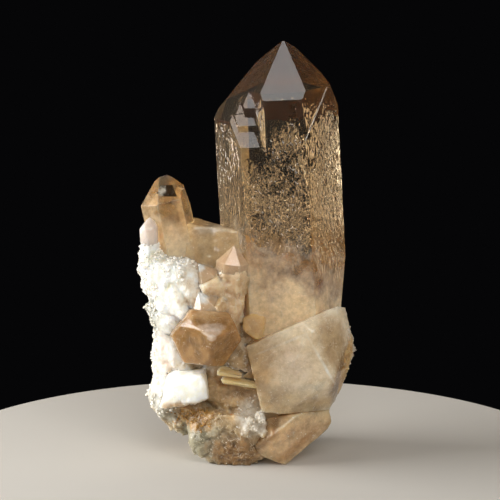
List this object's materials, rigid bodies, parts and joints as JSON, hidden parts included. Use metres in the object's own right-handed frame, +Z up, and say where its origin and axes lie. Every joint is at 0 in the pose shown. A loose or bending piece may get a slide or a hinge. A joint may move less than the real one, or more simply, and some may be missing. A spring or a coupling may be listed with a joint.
{
  "type": "smoky quartz crystal",
  "caption": "Cluster of smoky quartz: a tall stepped crystal and lesser ones on a milky, crusted root, cut flat below to stand by itself.",
  "frame": {"origin": "on the flat cut that the cluster rests on, below the middle of the root", "axes": "+Z up, along the tall crystal; -Y towards the viewer, the side with the stepped faces; +X to the viewer's right"},
  "size_m": [0.0558, 0.0491, 0.1081],
  "materials": {
    "smoky_quartz": "glossy crystal faces, with a rough crust"
  },
  "bodies": {
    "root": {"quartz_cluster": "smoky_quartz"}
  },
  "joints": []
}
